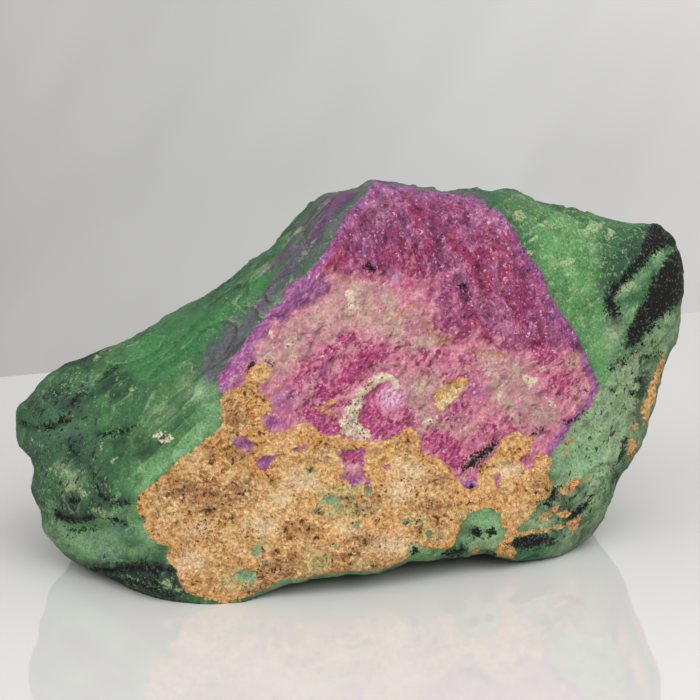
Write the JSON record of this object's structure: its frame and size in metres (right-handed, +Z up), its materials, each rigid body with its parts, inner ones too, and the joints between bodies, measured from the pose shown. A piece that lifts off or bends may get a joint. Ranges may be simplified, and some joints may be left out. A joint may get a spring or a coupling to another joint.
{
  "type": "ruby in zoisite mineral specimen",
  "caption": "Broken hand specimen of green zoisite rock with a pink to purple ruby face, tan weathered crust and black hornblende, resting on its underside.",
  "frame": {"origin": "centre of the bottom of the stone's box, on the surface it rests on", "axes": "+X to the right along the longest side, +Y to the back, away from the face with the ruby, +Z up"},
  "size_m": [0.126, 0.0604, 0.0693],
  "materials": {
    "zoisite_rock": "waxy fracture faces, rough crystalline ruby patch, dull crust"
  },
  "bodies": {
    "root": {"ruby_in_zoisite": "zoisite_rock"}
  },
  "joints": []
}
